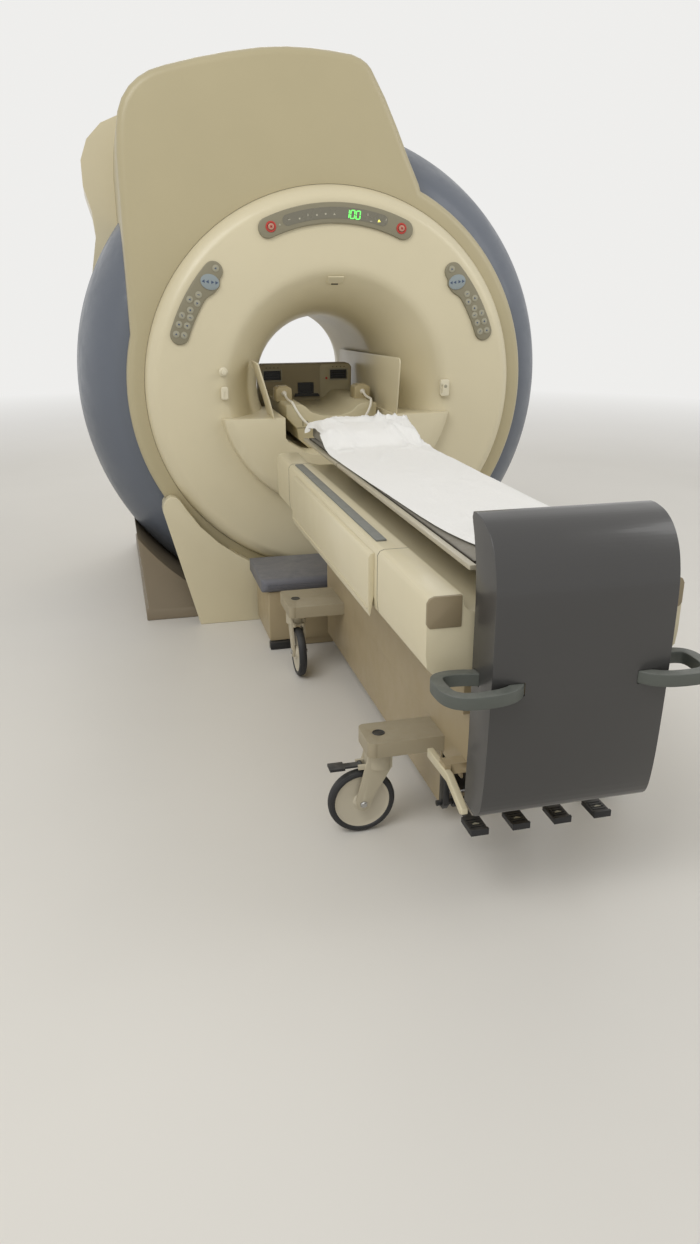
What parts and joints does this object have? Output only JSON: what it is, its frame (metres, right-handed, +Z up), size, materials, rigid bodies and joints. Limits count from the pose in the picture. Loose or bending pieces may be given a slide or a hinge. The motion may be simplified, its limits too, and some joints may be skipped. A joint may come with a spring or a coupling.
{
  "type": "mri scanner",
  "caption": "Closed bore magnet scanner with round flared front, barrel side shells, bore carriage and a docking patient table on casters.",
  "frame": {"origin": "on the floor directly below the isocentre of the bore", "axes": "+Z up, the bore axis along Y, front of the gantry and the table towards -Y, +X to the right of a person who faces the front"},
  "size_m": [2.2559, 4.082, 2.396],
  "materials": {
    "covers": "cream moulded cover, satin",
    "crown": "beige moulded cover, satin",
    "shell": "blue-grey moulded cover, satin",
    "plinth": "taupe paint",
    "cryostat": "white paint on welded steel",
    "coil": "cast resin around copper",
    "liner": "smooth cream liner",
    "panel": "grey membrane panel",
    "stop": "red button",
    "fitting": "pale moulding",
    "carriage": "beige housing, black sockets",
    "coil_base": "cream base",
    "cable": "white cable jacket",
    "anchor": "grey paint",
    "chassis": "tan paint",
    "lift": "drawn profile",
    "outrigger": "light beige casting",
    "end_shell": "dark warm grey moulding",
    "handle": "dark grey-green grip",
    "fork": "beige casting",
    "wheel": "black tyre on a pale hub",
    "pedal": "black ribbed pad",
    "cradle": "glass fibre tray",
    "pad": "brown-grey vinyl over foam",
    "sheet": "white disposable sheet"
  },
  "bodies": {
    "gantry": {"pedestal": "plinth", "foot_cover_left": "covers", "foot_cover_right": "covers", "front_bezel": "covers", "crown_cover": "crown", "side_shell_left": "shell", "side_shell_right": "shell", "rear_cover": "covers", "rear_bezel": "covers", "magnet_cryostat": "cryostat", "gradient_coil": "coil", "rf_body_coil": "coil", "bore_liner": "liner", "display_panel": "panel", "keypad_left": "panel", "keypad_right": "panel", "alignment_light": "fitting", "gas_valve": "fitting", "wall_socket": "fitting", "call_box": "fitting", "dock_pod": "covers", "bore_bridge": "liner", "side_guard_left": "covers", "side_guard_right": "covers", "dock_anchor": "anchor"},
    "stop_left": {"stop_button_left": "stop"},
    "stop_right": {"stop_button_right": "stop"},
    "carriage": {"coil_carriage": "carriage", "coil_base": "coil_base", "coil_cable_left": "cable", "coil_cable_right": "cable"},
    "chassis": {"table_chassis": "chassis", "lift_sleeve": "lift", "outrigger_front": "outrigger", "outrigger_rear": "outrigger", "end_shell": "end_shell", "push_handle_left": "handle", "push_handle_right": "handle"},
    "swivel_fl": {"fork_front_left": "fork"},
    "swivel_fr": {"fork_front_right": "fork"},
    "swivel_rl": {"fork_rear_left": "fork"},
    "swivel_rr": {"fork_rear_right": "fork"},
    "wheel_fl": {"wheel_front_left": "wheel"},
    "wheel_fr": {"wheel_front_right": "wheel"},
    "wheel_rl": {"wheel_rear_left": "wheel"},
    "wheel_rr": {"wheel_rear_right": "wheel"},
    "brake_l": {"brake_lever_left": "pedal"},
    "brake_r": {"brake_lever_right": "pedal"},
    "pedal_a": {"pedal_1": "pedal"},
    "pedal_b": {"pedal_2": "pedal"},
    "pedal_c": {"pedal_3": "pedal"},
    "pedal_d": {"pedal_4": "pedal"},
    "table_top": {"table_frame": "covers", "side_panel_left": "covers", "side_panel_right": "covers", "lift_ram": "chassis"},
    "cradle_body": {"cradle": "cradle", "mattress": "pad", "head_pad": "pad", "sheet": "sheet"}
  },
  "joints": [
    {"name": "table_undock", "type": "slide", "parent": "gantry", "child": "chassis", "axis": [0, -1, 0], "range_m": [0, 0.6]},
    {"name": "table_lift", "type": "slide", "parent": "chassis", "child": "table_top", "axis": [0, 0, 1], "range_m": [-0.14, 0]},
    {"name": "cradle_travel", "type": "slide", "parent": "table_top", "child": "cradle_body", "axis": [0, 1, 0], "range_m": [0, 1.15]},
    {"name": "carriage_travel", "type": "slide", "parent": "gantry", "child": "carriage", "axis": [0, 1, 0], "range_m": [0, 1.15]},
    {"name": "stop_press_left", "type": "slide", "parent": "gantry", "child": "stop_left", "axis": [0, 1, 0], "range_m": [0, 0.004], "stiffness_N_per_m": 1500},
    {"name": "stop_press_right", "type": "slide", "parent": "gantry", "child": "stop_right", "axis": [0, 1, 0], "range_m": [0, 0.004], "stiffness_N_per_m": 1500},
    {"name": "swivel_fl", "type": "hinge", "parent": "chassis", "child": "swivel_fl", "pos_m": [-0.33, -1.465, 0.2], "axis": [0, 0, 1], "continuous": true},
    {"name": "spin_fl", "type": "hinge", "parent": "swivel_fl", "child": "wheel_fl", "pos_m": [-0.33, -1.515, 0.1], "axis": [1, 0, 0], "continuous": true},
    {"name": "swivel_fr", "type": "hinge", "parent": "chassis", "child": "swivel_fr", "pos_m": [0.33, -1.465, 0.2], "axis": [0, 0, 1], "continuous": true},
    {"name": "spin_fr", "type": "hinge", "parent": "swivel_fr", "child": "wheel_fr", "pos_m": [0.33, -1.515, 0.1], "axis": [1, 0, 0], "continuous": true},
    {"name": "swivel_rl", "type": "hinge", "parent": "chassis", "child": "swivel_rl", "pos_m": [-0.33, -2.68, 0.2], "axis": [0, 0, 1], "continuous": true},
    {"name": "spin_rl", "type": "hinge", "parent": "swivel_rl", "child": "wheel_rl", "pos_m": [-0.38, -2.68, 0.1], "axis": [0, 1, 0], "continuous": true},
    {"name": "swivel_rr", "type": "hinge", "parent": "chassis", "child": "swivel_rr", "pos_m": [0.33, -2.68, 0.2], "axis": [0, 0, 1], "continuous": true},
    {"name": "spin_rr", "type": "hinge", "parent": "swivel_rr", "child": "wheel_rr", "pos_m": [0.38, -2.68, 0.1], "axis": [0, 1, 0], "continuous": true},
    {"name": "brake_press_left", "type": "hinge", "parent": "swivel_rl", "child": "brake_l", "pos_m": [-0.384, -2.68, 0.216], "axis": [0, 1, 0], "range_deg": [-7, 0]},
    {"name": "brake_press_right", "type": "hinge", "parent": "swivel_rr", "child": "brake_r", "pos_m": [0.384, -2.68, 0.216], "axis": [0, 1, 0], "range_deg": [0, 7]},
    {"name": "pedal_press_a", "type": "hinge", "parent": "chassis", "child": "pedal_a", "pos_m": [-0.172, -2.9, 0.195], "axis": [1, 0, 0], "range_deg": [0, 12], "stiffness_Nm_per_rad": 12, "springref_deg": -8.59},
    {"name": "pedal_press_b", "type": "hinge", "parent": "chassis", "child": "pedal_b", "pos_m": [-0.058, -2.9, 0.195], "axis": [1, 0, 0], "range_deg": [0, 12], "stiffness_Nm_per_rad": 12, "springref_deg": -8.59},
    {"name": "pedal_press_c", "type": "hinge", "parent": "chassis", "child": "pedal_c", "pos_m": [0.058, -2.9, 0.195], "axis": [1, 0, 0], "range_deg": [0, 12], "stiffness_Nm_per_rad": 12, "springref_deg": -8.59},
    {"name": "pedal_press_d", "type": "hinge", "parent": "chassis", "child": "pedal_d", "pos_m": [0.172, -2.9, 0.195], "axis": [1, 0, 0], "range_deg": [0, 12], "stiffness_Nm_per_rad": 12, "springref_deg": -8.59}
  ],
  "couplings": [
    {"joint": "carriage_travel", "follows": "cradle_travel", "ratio": 1}
  ]
}
